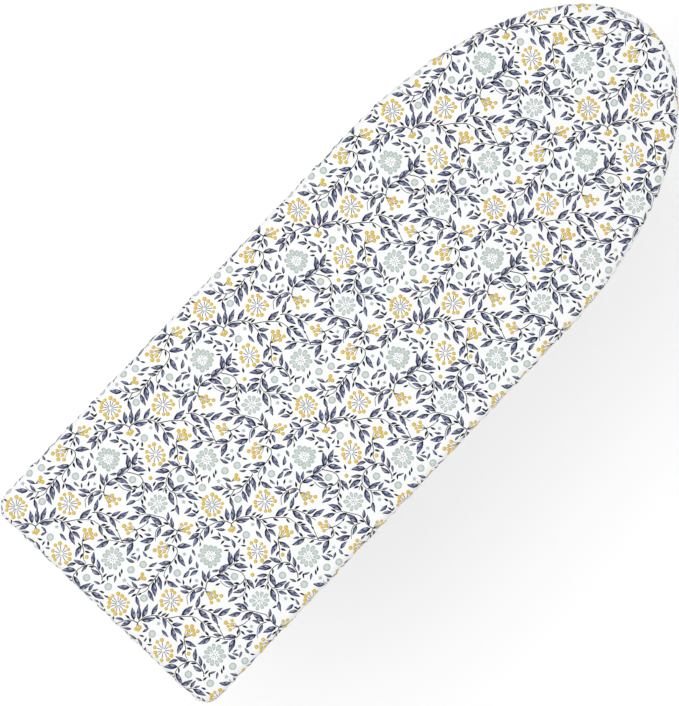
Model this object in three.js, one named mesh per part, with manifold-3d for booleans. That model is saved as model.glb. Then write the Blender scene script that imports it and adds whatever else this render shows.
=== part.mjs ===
// Free-standing folding ironing board with a padded, fitted cover. Millimetres, +Z up.
// +X points to the rounded nose, +Y is the left side, and the floor is z = 0.
import * as THREE from 'three';
import { mergeVertices } from 'three/addons/utils/BufferGeometryUtils.js';
import Module from 'manifold-3d';

const wasm = await Module();
wasm.setup();

// ---- driving dimensions -------------------------------------------------------------------

const GAP = 0.3; // clearance between pieces that touch
const SIDES = { left: 1, right: -1 };

// Padded top, seen from above: a straight tail, parallel sides and a half-ellipse nose.
const LENGTH = 1250;
const WIDTH = 460;
const NOSE_LENGTH = 437;
const TAIL_CORNER_R = 28;
const TOP_Z = 890;

const COVER_T = 1;
const PAD_T = 6;
const DECK_T = 0.8;
const SHEET_T = 1.2; // rolled and pressed steel strip
const EDGE_ROLL_R = 13; // the padded edge's roll
const UNDER_ROLL_R = 4; // where the cover turns under the rim
const RIM_INSET = 3.3;
const RIM_FLANGE = 14;
const RIM_HEIGHT = 20;
const HEM_REACH = 52; // how far the cover's hem lies inwards of its edge
const HEM_CASING = 10;
const HEM_DEPTH = 7;
const ELASTIC_W = 6;
const ELASTIC_T = 3;

const DECK_HOLE_R = 20;
const DECK_HOLE_PITCH = 80;

// Scissor legs: two frames of tubes that cross at one height. The upper halves of both frames
// are equal, so the sliding end stays level with the fixed one.
const UPPER = 420; // hinge to crossing
const LOWER = 640; // crossing to foot bar
const HINGE_Z = 846;
const FOOT_Z = 16;
const FIXED_HINGE_X = 285;
const TUBE_R = 11;
const TUBE_WALL = 1;
const EYE_HALF_T = 2.2; // the tube's end, pressed flat around its hinge
const EYE_HALF_H = 15;
const EYE_LENGTH = 24;
const EYE_TAPER = 40;
const OUTER_Y = 150;
const INNER_Y = 123;
const FOOT_HALF = { outer: 190, inner: 164 };
const BRACE_R = 8;
const BRACE_FROM_CROSSING = 330;

const SHAFT_R = 5;
const SLIDER_ROD_R = 4;
const BOLT_R = 3;

// Height rack: a notched strip that drops onto the slider rod, lifted by a side handle.
const HEIGHT_STEP = 50;
const HEIGHT_STEPS = 6;
const FOLDED_ANGLE = THREE.MathUtils.degToRad(2.2);
const RAIL_Y = 85;
const RAIL_T = 2;
const RAIL_BOTTOM_Z = 834;
const SLOT_HALF = 5.6;
const GLIDE_HALF = 9;
const RACK_Y = 60;
const RACK_HALF_T = 1.5;
const RACK_HEIGHT = 8;
const RACK_CLEARANCE = 0.5; // the teeth hang just clear of the slider rod
const NOTCH_R = 4.5;
const LEVER_AXLE_Y = -60;
const LEVER_AXLE_Z = 856;
const LEVER_BAR_X = -186;
const LEVER_LINK_X = -500;
const GRIP_Y = 203;

// ---- sizes that follow ---------------------------------------------------------------------

const OPEN_ANGLE = Math.asin((HINGE_Z - FOOT_Z) / (UPPER + LOWER));
const CROSSING = {
  x: FIXED_HINGE_X - UPPER * Math.cos(OPEN_ANGLE),
  z: HINGE_Z - UPPER * Math.sin(OPEN_ANGLE),
};
const sliderX = (angle) => FIXED_HINGE_X - 2 * UPPER * Math.cos(angle);
const OUTER_FOOT_X = FIXED_HINGE_X - (UPPER + LOWER) * Math.cos(OPEN_ANGLE);
const INNER_FOOT_X = sliderX(OPEN_ANGLE) + (UPPER + LOWER) * Math.cos(OPEN_ANGLE);

const PAD_TOP_Z = TOP_Z - COVER_T - GAP;
const DECK_TOP_Z = PAD_TOP_Z - PAD_T - GAP;
const RIM_TOP_Z = DECK_TOP_Z - DECK_T - GAP;
const RIM_BOTTOM_Z = RIM_TOP_Z - RIM_HEIGHT;
const HEM_TOP_Z = RIM_BOTTOM_Z - GAP;
const RIB_TOP_Z = RIM_TOP_Z;
const RIB_BOTTOM_Z = 864;
const RIB_WIDTH = 25;
const RAIL_TOP_Z = RIB_BOTTOM_Z - GAP;
const RAIL_TAIL_X = -572;
const RAIL_NOSE_X = -203;
const RACK_Z = HINGE_Z + SLIDER_ROD_R + RACK_CLEARANCE;
const RIBS = { nose: FIXED_HINGE_X, middle: 40, rack: -216, tail: -548 };

// ---- finishes ------------------------------------------------------------------------------

const FINISH = {
  cotton: { color: '#f3f3f1', roughness: 0.9, metalness: 0 },
  felt: { color: '#d9d6cd', roughness: 1, metalness: 0 },
  elastic: { color: '#efefec', roughness: 0.9, metalness: 0 },
  coated: { color: '#e9eaea', roughness: 0.45, metalness: 0 },
  zinc: { color: '#b9bcc0', roughness: 0.35, metalness: 1 },
  plastic: { color: '#3b3e45', roughness: 0.55, metalness: 0 },
  glide: { color: '#d8d8d4', roughness: 0.4, metalness: 0 },
};

// ---- geometry helpers ----------------------------------------------------------------------

/** Turns a closed BufferGeometry into a solid that can be joined and cut. */
function solid(geometry) {
  const bare = geometry.clone();
  bare.deleteAttribute('normal');
  bare.deleteAttribute('uv');
  const merged = mergeVertices(bare, 1e-4);
  return new wasm.Manifold(new wasm.Mesh({
    numProp: 3,
    vertProperties: new Float32Array(merged.attributes.position.array),
    triVerts: new Uint32Array(merged.index.array),
  }));
}

/** Turns a solid back into a BufferGeometry. */
function surface(body) {
  const mesh = body.getMesh();
  const geometry = new THREE.BufferGeometry();
  geometry.setAttribute('position', new THREE.BufferAttribute(mesh.vertProperties, 3));
  geometry.setIndex(new THREE.BufferAttribute(mesh.triVerts, 1));
  geometry.computeVertexNormals();
  return geometry;
}

/** A named mesh with its own material, from a geometry or a solid. */
function piece(name, shape, finish) {
  const geometry = shape.isBufferGeometry ? shape : surface(shape);
  const mesh = new THREE.Mesh(geometry, new THREE.MeshStandardMaterial(finish));
  mesh.name = name;
  return mesh;
}

/** A closed skin through rings of equal point count; both end rings are convex. */
function loft(rings) {
  const count = rings[0].length;
  const position = rings.flat().flatMap((point) => [point.x, point.y, point.z]);
  const index = [];
  for (let level = 0; level + 1 < rings.length; level += 1) {
    for (let i = 0; i < count; i += 1) {
      const a = level * count + i;
      const b = level * count + ((i + 1) % count);
      index.push(a, b, b + count, a, b + count, a + count);
    }
  }
  const last = (rings.length - 1) * count;
  for (let i = 1; i + 1 < count; i += 1) {
    index.push(0, i + 1, i);
    index.push(last, last + i, last + i + 1);
  }
  const geometry = new THREE.BufferGeometry();
  geometry.setAttribute('position', new THREE.Float32BufferAttribute(position, 3));
  geometry.setIndex(index);
  return solid(geometry);
}

/** A box between two corners. */
function block(x0, x1, y0, y1, z0, z1) {
  const geometry = new THREE.BoxGeometry(x1 - x0, y1 - y0, z1 - z0);
  geometry.translate((x0 + x1) / 2, (y0 + y1) / 2, (z0 + z1) / 2);
  return solid(geometry);
}

/** A round bar along Y. */
function rodY(radius, x, z, y0, y1, sides = 16) {
  const geometry = new THREE.CylinderGeometry(radius, radius, Math.abs(y1 - y0), sides);
  geometry.translate(x, (y0 + y1) / 2, z);
  return solid(geometry);
}

/** A round bar along X. */
function rodX(radius, y, z, x0, x1, sides = 16) {
  const geometry = new THREE.CylinderGeometry(radius, radius, Math.abs(x1 - x0), sides);
  geometry.rotateZ(-Math.PI / 2);
  geometry.translate((x0 + x1) / 2, y, z);
  return solid(geometry);
}

/** A round bar along Z. */
function rodZ(radius, x, y, z0, z1, sides = 16) {
  const geometry = new THREE.CylinderGeometry(radius, radius, z1 - z0, sides);
  geometry.rotateX(Math.PI / 2);
  geometry.translate(x, y, (z0 + z1) / 2);
  return solid(geometry);
}

/** A flat outline in the XZ plane, given its thickness along Y from y0 to y1. */
function plateXZ(shape, y0, y1) {
  const geometry = new THREE.ExtrudeGeometry(shape, {
    depth: y1 - y0,
    bevelEnabled: false,
    curveSegments: 6,
  });
  geometry.rotateX(Math.PI / 2);
  geometry.translate(0, y1, 0);
  return solid(geometry);
}

/** A closed ring of points around the board, moved inwards by inset, at height z. */
function outline(inset, z) {
  const half = WIDTH / 2;
  const centre = LENGTH / 2 - NOSE_LENGTH;
  const points = [];
  const noseSteps = 40;
  for (let i = 0; i <= noseSteps; i += 1) {
    const t = -Math.PI / 2 + (Math.PI * i) / noseSteps;
    const normal = new THREE.Vector2(half * Math.cos(t), NOSE_LENGTH * Math.sin(t)).normalize();
    const x = centre + NOSE_LENGTH * Math.cos(t) - inset * normal.x;
    const y = half * Math.sin(t) - inset * normal.y;
    points.push(new THREE.Vector3(x, y, z));
  }
  const radius = Math.max(TAIL_CORNER_R - inset, 5);
  const cornerX = -LENGTH / 2 + inset + radius;
  const cornerY = half - inset - radius;
  const cornerSteps = 6;
  for (const [sign, start] of [[1, Math.PI / 2], [-1, Math.PI]]) {
    for (let i = 0; i <= cornerSteps; i += 1) {
      const t = start + (Math.PI / 2) * (i / cornerSteps);
      const x = cornerX + radius * Math.cos(t);
      const y = sign * cornerY + radius * Math.sin(t);
      points.push(new THREE.Vector3(x, y, z));
    }
  }
  return points;
}

/** A straight-sided slab with the board's outline. */
const slab = (inset, z0, z1) => loft([outline(inset, z0), outline(inset, z1)]);

/** The board's rounded outer form, shrunk by offset on every side. */
function boardForm(offset) {
  const bottom = HEM_TOP_Z - COVER_T + offset;
  const low = UNDER_ROLL_R - offset;
  const high = EDGE_ROLL_R - offset;
  const rings = [];
  for (const angle of [0, 45, 90]) {
    const t = THREE.MathUtils.degToRad(angle);
    rings.push(outline(UNDER_ROLL_R - low * Math.sin(t), bottom + low * (1 - Math.cos(t))));
  }
  for (const angle of [0, 22.5, 45, 67.5, 90]) {
    const t = THREE.MathUtils.degToRad(angle);
    const z = TOP_Z - EDGE_ROLL_R + high * Math.sin(t);
    rings.push(outline(EDGE_ROLL_R - high * Math.cos(t), z));
  }
  return loft(rings);
}

/** Half the width of the board at x, moved inwards by inset. */
function halfWidthAt(x, inset) {
  const past = Math.max(0, x - (LENGTH / 2 - NOSE_LENGTH)) / NOSE_LENGTH;
  return (WIDTH / 2) * Math.sqrt(1 - past * past) - inset;
}

// ---- padded top ----------------------------------------------------------------------------

/** Printed cover: a skin over the top that laps the rim and ends in a gathered hem. */
function cover() {
  const bottom = HEM_TOP_Z - COVER_T;
  const casingBottom = HEM_TOP_Z - HEM_DEPTH;
  const opening = slab(HEM_REACH, casingBottom - 10, HEM_TOP_Z + 1);
  const casing = slab(HEM_REACH - HEM_CASING, casingBottom, bottom + COVER_T / 2);
  const elasticRoom = slab(HEM_REACH - HEM_CASING - 5, casingBottom + COVER_T, bottom)
    .subtract(slab(HEM_REACH - COVER_T, casingBottom, bottom + 1));
  const skin = boardForm(0).subtract(boardForm(COVER_T));
  return piece('cover', skin.add(casing.subtract(elasticRoom)).subtract(opening), FINISH.cotton);
}

/** Elastic cord in the hem's casing. */
function hemElastic() {
  const middle = HEM_TOP_Z - HEM_DEPTH / 2;
  const outer = slab(HEM_REACH - COVER_T - GAP - ELASTIC_W, middle - ELASTIC_T / 2, middle + ELASTIC_T / 2);
  const inner = slab(HEM_REACH - COVER_T - GAP, middle - ELASTIC_T, middle + ELASTIC_T);
  return piece('hem_elastic', outer.subtract(inner), FINISH.elastic);
}

/** Felt underlay, rounded off along its edge. */
function underlayPad() {
  const below = slab(-10, RIM_BOTTOM_Z - 10, PAD_TOP_Z - PAD_T);
  return piece('underlay_pad', boardForm(COVER_T + GAP).subtract(below), FINISH.felt);
}

/** Steel deck with open work for steam. */
function meshDeck() {
  let deck = slab(RIM_INSET, DECK_TOP_Z - DECK_T, DECK_TOP_Z);
  const rowPitch = DECK_HOLE_PITCH * Math.sin(Math.PI / 3);
  const rows = Math.floor((WIDTH / 2) / rowPitch);
  const columns = Math.floor((LENGTH / 2) / DECK_HOLE_PITCH);
  const holes = [];
  for (let row = -rows; row <= rows; row += 1) {
    const y = row * rowPitch;
    for (let column = -columns; column <= columns; column += 1) {
      const x = (column + (row % 2 ? 0.5 : 0)) * DECK_HOLE_PITCH;
      const clear = RIM_INSET + RIM_FLANGE + DECK_HOLE_R + 6;
      const inLength = Math.abs(x) < LENGTH / 2 - clear;
      if (inLength && Math.abs(y) < halfWidthAt(x + 20, clear)) {
        holes.push(rodZ(DECK_HOLE_R, x, y, DECK_TOP_Z - 5, DECK_TOP_Z + 5, 6));
      }
    }
  }
  for (const hole of holes) {
    deck = deck.subtract(hole);
  }
  return piece('mesh_deck', deck, FINISH.coated);
}

/** Rolled steel channel around the deck, open towards the middle. */
function edgeRim() {
  const outer = slab(RIM_INSET, RIM_BOTTOM_Z, RIM_TOP_Z);
  const channel = slab(RIM_INSET + SHEET_T, RIM_BOTTOM_Z + SHEET_T, RIM_TOP_Z - SHEET_T);
  const middle = slab(RIM_INSET + RIM_FLANGE, RIM_BOTTOM_Z - 1, RIM_TOP_Z + 1);
  return piece('edge_rim', outer.subtract(channel).subtract(middle), FINISH.coated);
}

/** Cross rib: a pressed channel under the deck, open at the top. */
function rib(name, x) {
  const half = halfWidthAt(x + RIB_WIDTH / 2, RIM_INSET + RIM_FLANGE + 2);
  const outer = block(x - RIB_WIDTH / 2, x + RIB_WIDTH / 2, -half, half, RIB_BOTTOM_Z, RIB_TOP_Z);
  const inside = block(
    x - RIB_WIDTH / 2 + SHEET_T, x + RIB_WIDTH / 2 - SHEET_T,
    -half - 1, half + 1,
    RIB_BOTTOM_Z + SHEET_T, RIB_TOP_Z + 1,
  );
  return piece(`rib_${name}`, outer.subtract(inside), FINISH.coated);
}

// ---- hinge brackets and guide rails ----------------------------------------------------------

/** Angle bracket that hangs the fixed hinge's shaft from the nose rib. */
function pivotBracket(side) {
  const sign = SIDES[side];
  const inner = OUTER_Y + EYE_HALF_T + 2 * GAP + 2;
  const shape = new THREE.Shape();
  shape.moveTo(-18, RAIL_TOP_Z);
  shape.lineTo(-11, HINGE_Z);
  shape.absarc(0, HINGE_Z, 11, Math.PI, 2 * Math.PI, false);
  shape.lineTo(18, RAIL_TOP_Z);
  const web = plateXZ(shape, inner, inner + 2.5);
  const flange = block(-18, 18, inner, inner + 20, RAIL_TOP_Z - 2.5, RAIL_TOP_Z);
  const bore = rodY(SHAFT_R + GAP, 0, HINGE_Z, inner - 5, inner + 8);
  const bracket = web.add(flange).subtract(bore);
  const placed = sign > 0 ? bracket : bracket.mirror([0, 1, 0]);
  return piece(`pivot_bracket_${side}`, placed.translate([FIXED_HINGE_X, 0, 0]), FINISH.coated);
}

/** Slotted angle that guides one end of the slider rod. */
function guideRail(side) {
  const sign = SIDES[side];
  const web = block(RAIL_TAIL_X, RAIL_NOSE_X, RAIL_Y, RAIL_Y + RAIL_T, RAIL_BOTTOM_Z, RAIL_TOP_Z);
  const flange = block(RAIL_TAIL_X, RAIL_NOSE_X, RAIL_Y, RAIL_Y + 16, RAIL_TOP_Z - RAIL_T, RAIL_TOP_Z);
  const slot = new THREE.Shape();
  const tail = sliderX(FOLDED_ANGLE) - GLIDE_HALF;
  const nose = sliderX(OPEN_ANGLE) + GLIDE_HALF;
  slot.moveTo(tail, HINGE_Z - SLOT_HALF);
  slot.lineTo(nose, HINGE_Z - SLOT_HALF);
  slot.absarc(nose, HINGE_Z, SLOT_HALF, -Math.PI / 2, Math.PI / 2, false);
  slot.lineTo(tail, HINGE_Z + SLOT_HALF);
  slot.absarc(tail, HINGE_Z, SLOT_HALF, Math.PI / 2, 1.5 * Math.PI, false);
  const rail = web.add(flange).subtract(plateXZ(slot, RAIL_Y - 3, RAIL_Y + 6));
  return piece(`guide_rail_${side}`, sign > 0 ? rail : rail.mirror([0, 1, 0]), FINISH.zinc);
}

/** Dome-headed rivet pressed up against a flange. */
function rivet(name, x, y, topZ) {
  const height = 1.8;
  const profile = [
    new THREE.Vector2(0, -height),
    new THREE.Vector2(2, -height + 0.3),
    new THREE.Vector2(3.6, -0.7),
    new THREE.Vector2(3.8, 0),
    new THREE.Vector2(0, 0),
  ];
  const geometry = new THREE.LatheGeometry(profile, 12);
  geometry.rotateX(Math.PI / 2);
  const mesh = piece(name, solid(geometry), FINISH.zinc);
  mesh.position.set(x, y, topZ);
  return mesh;
}

/** Lug that carries one end of the lever's axle. */
function leverLug(name, x) {
  const shape = new THREE.Shape();
  shape.moveTo(-9, RAIL_TOP_Z);
  shape.lineTo(-7, LEVER_AXLE_Z);
  shape.absarc(0, LEVER_AXLE_Z, 7, Math.PI, 2 * Math.PI, false);
  shape.lineTo(9, RAIL_TOP_Z);
  const plate = plateXZ(shape, -1.25, 1.25).subtract(rodY(BOLT_R + GAP, 0, LEVER_AXLE_Z, -4, 4, 12));
  const lug = piece(`lever_lug_${name}`, plate, FINISH.coated);
  lug.rotation.z = Math.PI / 2;
  lug.position.set(x, LEVER_AXLE_Y, 0);
  return lug;
}

/** Shaft through both outer leg tubes, with a push-on cap at each end. */
function pivotShaft() {
  const end = OUTER_Y + 14;
  const shaft = rodY(SHAFT_R, FIXED_HINGE_X, HINGE_Z, -end, end);
  const caps = Object.entries(SIDES).map(([side, sign]) => {
    const profile = [[0, 3.6], [4, 3.4], [6.4, 2.2], [7, 0.8], [7, -1.4], [0, -1.4]];
    const points = profile.map(([radius, height]) => new THREE.Vector2(radius, height));
    const geometry = new THREE.LatheGeometry(points.reverse(), 16);
    const cap = piece(`shaft_cap_${side}`, solid(geometry), FINISH.zinc);
    cap.rotation.x = sign > 0 ? 0 : Math.PI;
    cap.position.set(FIXED_HINGE_X, sign * (end + 1.4 + GAP), HINGE_Z);
    return cap;
  });
  return [piece('pivot_shaft', shaft, FINISH.zinc), ...caps];
}

// ---- leg frames ------------------------------------------------------------------------------

/** One leg tube along +X from its flattened hinge eye at the origin to the foot bar. */
function legTube(name, y, eyeBoreR) {
  const length = UPPER + LOWER;
  const ellipse = (x, halfY, halfZ) => Array.from({ length: 16 }, (_, i) => {
    const t = (2 * Math.PI * i) / 16;
    return new THREE.Vector3(x, halfY * Math.cos(t), halfZ * Math.sin(t));
  });
  const tube = loft([
    ellipse(EYE_LENGTH - 2, EYE_HALF_T, EYE_HALF_H - 1),
    ellipse(EYE_LENGTH + EYE_TAPER * 0.3, EYE_HALF_T + 2.4, EYE_HALF_H - 1.2),
    ellipse(EYE_LENGTH + EYE_TAPER * 0.7, TUBE_R - 2, TUBE_R + 1.4),
    ellipse(EYE_LENGTH + EYE_TAPER, TUBE_R, TUBE_R),
    ellipse(length, TUBE_R, TUBE_R),
  ]);
  const plateHalf = EYE_HALF_H - 2;
  const eye = rodY(plateHalf, 0, 0, -EYE_HALF_T, EYE_HALF_T, 20)
    .add(block(0, EYE_LENGTH + 8, -EYE_HALF_T, EYE_HALF_T, -plateHalf, plateHalf));
  const hollow = rodX(TUBE_R - TUBE_WALL, 0, 0, EYE_LENGTH + EYE_TAPER, length + 20);
  const saddle = rodY(TUBE_R + GAP, length, 0, -30, 30);
  const hingeBore = rodY(eyeBoreR + GAP, 0, 0, -10, 10);
  const crossBore = rodY(BOLT_R + GAP, UPPER, 0, -20, 20, 12);
  const cut = tube.add(eye).subtract(hollow).subtract(saddle).subtract(hingeBore).subtract(crossBore);
  const mesh = piece(name, cut, FINISH.coated);
  mesh.position.y = y;
  return mesh;
}

/** Round tube along Y, open at both ends. */
const hollowBar = (radius, x, half) => rodY(radius, x, 0, -half, half)
  .subtract(rodY(radius - TUBE_WALL, x, 0, -half - 5, half + 5));

/** A leg frame in its own plane: two tubes, a brace and a foot bar. */
function legFrame(kind, tubeY, eyeBoreR) {
  const frame = new THREE.Group();
  for (const [side, sign] of Object.entries(SIDES)) {
    frame.add(legTube(`${kind}_leg_tube_${side}`, sign * tubeY, eyeBoreR));
  }
  const braceX = UPPER + BRACE_FROM_CROSSING;
  const braceHalf = tubeY - TUBE_R - GAP;
  frame.add(piece(`${kind}_brace`, hollowBar(BRACE_R, braceX, braceHalf), FINISH.coated));
  const footX = UPPER + LOWER;
  frame.add(piece(`${kind}_foot_bar`, hollowBar(TUBE_R, footX, FOOT_HALF[kind]), FINISH.coated));
  return frame;
}

/** Cap over a foot bar's end, with a flat sole on the floor. */
function footCap(kind, side, x) {
  const sign = SIDES[side];
  const end = FOOT_HALF[kind];
  const capR = TUBE_R + 2.5;
  const body = rodY(capR, 0, FOOT_Z, end - 26, end + 5, 20)
    .add(block(-11, 11, end - 26, end + 5, 0, FOOT_Z - 6));
  const socket = rodY(TUBE_R + GAP, 0, FOOT_Z, end - 30, end + GAP);
  const cap = body.subtract(socket);
  const placed = sign > 0 ? cap : cap.mirror([0, 1, 0]);
  return piece(`${kind}_foot_cap_${side}`, placed.translate([x, 0, 0]), FINISH.plastic);
}

/** Bolt, spacer and nut where the two frames cross on one side. */
function crossing(side) {
  const sign = SIDES[side];
  const innerFace = INNER_Y - TUBE_R - GAP;
  const outerFace = OUTER_Y + TUBE_R + GAP;
  const bolt = rodY(BOLT_R, 0, 0, innerFace - 7, outerFace + 0.1, 12)
    .add(rodY(6.5, 0, 0, outerFace, outerFace + 3.5, 16));
  const nut = rodY(5.6, 0, 0, innerFace - 5, innerFace, 6)
    .subtract(rodY(BOLT_R + 0.2, 0, 0, innerFace - 9, innerFace + 4, 12));
  const spacer = rodY(7, 0, 0, INNER_Y + TUBE_R + GAP, OUTER_Y - TUBE_R - GAP, 16)
    .subtract(rodY(BOLT_R + GAP, 0, 0, INNER_Y, OUTER_Y, 12));
  const parts = [
    ['cross_bolt', bolt, FINISH.zinc],
    ['cross_nut', nut, FINISH.zinc],
    ['cross_spacer', spacer, FINISH.glide],
  ];
  return parts.map(([name, body, finish]) => {
    const placed = sign > 0 ? body : body.mirror([0, 1, 0]);
    return piece(`${name}_${side}`, placed.translate([CROSSING.x, 0, CROSSING.z]), finish);
  });
}

/** Rod across the inner leg's top end, with a glide in each rail and a cap on each end. */
function slider() {
  const x = sliderX(OPEN_ANGLE);
  const end = INNER_Y + 9;
  const rod = piece('slider_rod', rodY(SLIDER_ROD_R, x, HINGE_Z, -end, end), FINISH.zinc);
  const ends = Object.entries(SIDES).flatMap(([side, sign]) => {
    const shape = new THREE.Shape();
    shape.moveTo(-GLIDE_HALF, -SLOT_HALF + GAP);
    shape.lineTo(GLIDE_HALF, -SLOT_HALF + GAP);
    shape.lineTo(GLIDE_HALF, SLOT_HALF - GAP);
    shape.lineTo(-GLIDE_HALF, SLOT_HALF - GAP);
    const core = plateXZ(shape, RAIL_Y - 2, RAIL_Y + RAIL_T + 2);
    const flangeIn = block(-11, 11, RAIL_Y - 4, RAIL_Y - GAP, -8, 8);
    const flangeOut = block(-11, 11, RAIL_Y + RAIL_T + GAP, RAIL_Y + RAIL_T + 4, -8, 8);
    const bore = rodY(SLIDER_ROD_R + 0.15, 0, 0, RAIL_Y - 10, RAIL_Y + 12);
    const glideBody = core.add(flangeIn).add(flangeOut).subtract(bore);
    const capBody = rodY(6.5, 0, 0, end - 3, end + 2.5)
      .subtract(rodY(SLIDER_ROD_R + 0.15, 0, 0, end - 6, end + 0.3));
    const place = (body) => (sign > 0 ? body : body.mirror([0, 1, 0])).translate([x, 0, HINGE_Z]);
    return [
      piece(`slider_glide_${side}`, place(glideBody), FINISH.glide),
      piece(`slider_cap_${side}`, place(capBody), FINISH.plastic),
    ];
  });
  return [rod, ...ends];
}

// ---- height lever ----------------------------------------------------------------------------

/** Notched strip: each notch holds the slider rod at one working height. */
function heightRack() {
  const tail = LEVER_LINK_X - 8;
  const nose = LEVER_BAR_X + 8;
  let strip = block(tail, nose, RACK_Y - RACK_HALF_T, RACK_Y + RACK_HALF_T, RACK_Z, RACK_Z + RACK_HEIGHT);
  for (let step = 0; step < HEIGHT_STEPS; step += 1) {
    const rise = HINGE_Z - FOOT_Z - step * HEIGHT_STEP;
    const x = sliderX(Math.asin(rise / (UPPER + LOWER)));
    strip = strip.subtract(rodY(NOTCH_R, x, RACK_Z, RACK_Y - 5, RACK_Y + 5));
  }
  return piece('height_rack', strip, FINISH.zinc);
}

/** Lever: an axle, two arms, the rack, a handle with its grip, and the return spring. */
function heightLever() {
  const armZ = [LEVER_AXLE_Z - 3, LEVER_AXLE_Z + 1];
  const axle = rodX(BOLT_R, LEVER_AXLE_Y, LEVER_AXLE_Z, RIBS.tail - 12, RIBS.rack + 44, 12);
  const eye = (x) => rodX(6, LEVER_AXLE_Y, LEVER_AXLE_Z, x - 6, x + 6, 14);
  const bore = (x) => rodX(BOLT_R + GAP, LEVER_AXLE_Y, LEVER_AXLE_Z, x - 12, x + 12, 12);
  const rackSide = RACK_Y - RACK_HALF_T - GAP;
  const link = block(LEVER_LINK_X - 6, LEVER_LINK_X + 6, LEVER_AXLE_Y, rackSide, ...armZ)
    .add(eye(LEVER_LINK_X)).subtract(bore(LEVER_LINK_X));
  const notch = block(
    LEVER_BAR_X - 9, LEVER_BAR_X + 8 + GAP,
    rackSide, RACK_Y + RACK_HALF_T + GAP,
    RACK_Z - 2, RACK_Z + RACK_HEIGHT + GAP,
  );
  const bend = OUTER_Y + TUBE_R + 8;
  const gripTop = 841;
  const drop = new THREE.Shape();
  drop.moveTo(bend - 4, armZ[1]);
  drop.lineTo(bend - 6, armZ[0]);
  drop.lineTo(bend + 8, gripTop - 10);
  drop.lineTo(GRIP_Y + 14, gripTop - 10);
  drop.lineTo(GRIP_Y + 14, gripTop - 6);
  drop.lineTo(bend + 10, gripTop - 6);
  drop.lineTo(bend + 1, armZ[1]);
  const dropGeometry = new THREE.ExtrudeGeometry(drop, { depth: 12, bevelEnabled: false });
  dropGeometry.rotateX(Math.PI / 2);
  dropGeometry.rotateZ(Math.PI / 2);
  dropGeometry.translate(LEVER_BAR_X - 6, 0, 0);
  const bar = block(LEVER_BAR_X - 6, LEVER_BAR_X + 6, LEVER_AXLE_Y, bend - 3, armZ[0], armZ[1] + 4)
    .add(eye(LEVER_BAR_X)).add(solid(dropGeometry)).subtract(notch).subtract(bore(LEVER_BAR_X));
  const gripLength = 34;
  const gripY = GRIP_Y - 14;
  const grip = block(LEVER_BAR_X - 15, LEVER_BAR_X + 15, gripY, gripY + gripLength, gripTop - 13, gripTop - 3)
    .subtract(block(LEVER_BAR_X - 6 - GAP, LEVER_BAR_X + 6 + GAP, gripY - 5, GRIP_Y + 14 + GAP,
      gripTop - 10 - GAP, gripTop - 6 + GAP));
  return [
    piece('lever_axle', axle, FINISH.zinc),
    piece('lever_link', link, FINISH.zinc),
    heightRack(),
    piece('lever_bar', bar, FINISH.zinc),
    piece('lever_grip', grip, FINISH.plastic),
    leverSpring(),
  ];
}

/** Torsion spring around the lever's axle. */
function leverSpring() {
  const turns = 4;
  const coilR = 5;
  const pitch = 2.4;
  const startX = RIBS.rack + 6;
  class Helix extends THREE.Curve {
    getPoint(t, target = new THREE.Vector3()) {
      const angle = 2 * Math.PI * turns * t;
      return target.set(startX + pitch * turns * t, coilR * Math.cos(angle), coilR * Math.sin(angle));
    }
  }
  const section = new THREE.Shape();
  section.absarc(0, 0, 0.7, 0, 2 * Math.PI, false);
  const geometry = new THREE.ExtrudeGeometry(section, {
    steps: turns * 10, curveSegments: 3, bevelEnabled: false, extrudePath: new Helix(),
  });
  const mesh = piece('lever_spring', solid(geometry), FINISH.zinc);
  mesh.position.set(0, LEVER_AXLE_Y, LEVER_AXLE_Z);
  return mesh;
}

// ---- assembly --------------------------------------------------------------------------------

const group = new THREE.Group();

const top = new THREE.Group();
top.add(cover(), hemElastic(), underlayPad(), meshDeck(), edgeRim());
for (const [name, x] of Object.entries(RIBS)) {
  top.add(rib(name, x));
}
for (const [side, sign] of Object.entries(SIDES)) {
  top.add(pivotBracket(side), guideRail(side));
  const flangeY = sign * (OUTER_Y + EYE_HALF_T + 2 * GAP + 2 + 12);
  top.add(rivet(`bracket_rivet_${side}`, FIXED_HINGE_X, flangeY, RAIL_TOP_Z - 2.5 - GAP));
  for (const end of ['rack', 'tail']) {
    top.add(rivet(`rail_rivet_${end}_${side}`, RIBS[end], sign * (RAIL_Y + 9), RAIL_TOP_Z - RAIL_T - GAP));
  }
}
top.add(leverLug('rack', RIBS.rack), leverLug('tail', RIBS.tail), ...pivotShaft());
group.add(top);

const outerLeg = legFrame('outer', OUTER_Y, SHAFT_R);
outerLeg.position.set(FIXED_HINGE_X, 0, HINGE_Z);
outerLeg.rotation.y = Math.PI - OPEN_ANGLE;
group.add(outerLeg);

const innerLeg = legFrame('inner', INNER_Y, SLIDER_ROD_R);
innerLeg.position.set(sliderX(OPEN_ANGLE), 0, HINGE_Z);
innerLeg.rotation.y = OPEN_ANGLE;
group.add(innerLeg);

for (const side of Object.keys(SIDES)) {
  group.add(footCap('outer', side, OUTER_FOOT_X), footCap('inner', side, INNER_FOOT_X));
  group.add(...crossing(side));
}
group.add(...slider(), ...heightLever());

export default group;
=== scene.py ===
"""Cloth, felt, mesh deck, coated legs and finishes of a folding ironing board, in metres."""

import logging
import math
import random
from dataclasses import dataclass, field
from enum import Enum
from typing import Any, Iterable

import bmesh
import bpy
import numpy as np
from mathutils import Matrix, Vector
from mathutils.geometry import delaunay_2d_cdt


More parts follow.
